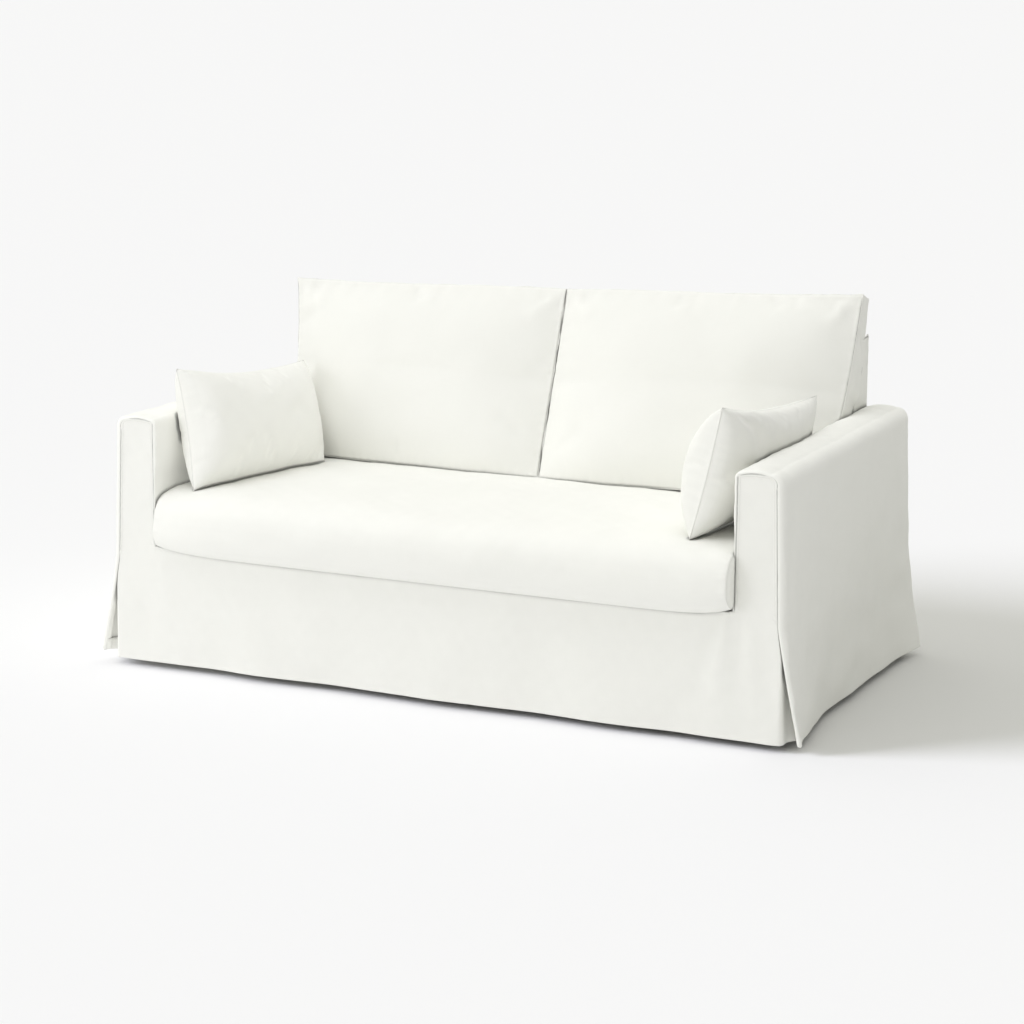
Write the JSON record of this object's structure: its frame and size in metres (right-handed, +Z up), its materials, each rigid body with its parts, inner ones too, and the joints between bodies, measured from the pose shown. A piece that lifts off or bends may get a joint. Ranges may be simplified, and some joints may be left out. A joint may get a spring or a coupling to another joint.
{
  "type": "sofa slipcover",
  "caption": "Fitted skirted slipcover for a two-seat sofa in heavy off-white cotton, with its bench seat, back and arm cushions; open below.",
  "frame": {"origin": "under the middle of the top of the back, where the sofa's frame holds the cover up", "axes": "+X along the sofa's width, to the left of someone seated; +Y from the front to the back; +Z up"},
  "size_m": [1.9488, 1.0423, 0.9487],
  "materials": {
    "cover_cloth": "heavy woven cotton, matt, off-white",
    "cushion_cloth": "heavy woven cotton over a soft filling, matt, off-white"
  },
  "bodies": {
    "root": {"front_panel": "cover_cloth", "side_panel_left": "cover_cloth", "side_panel_right": "cover_cloth", "back_panel": "cover_cloth", "inside_back": "cover_cloth", "back_gusset_left": "cover_cloth", "back_gusset_right": "cover_cloth", "seat_deck": "cover_cloth", "seat_cushion": "cushion_cloth", "back_cushion_left": "cushion_cloth", "back_cushion_right": "cushion_cloth", "arm_cushion_left": "cushion_cloth", "arm_cushion_right": "cushion_cloth"}
  },
  "joints": []
}
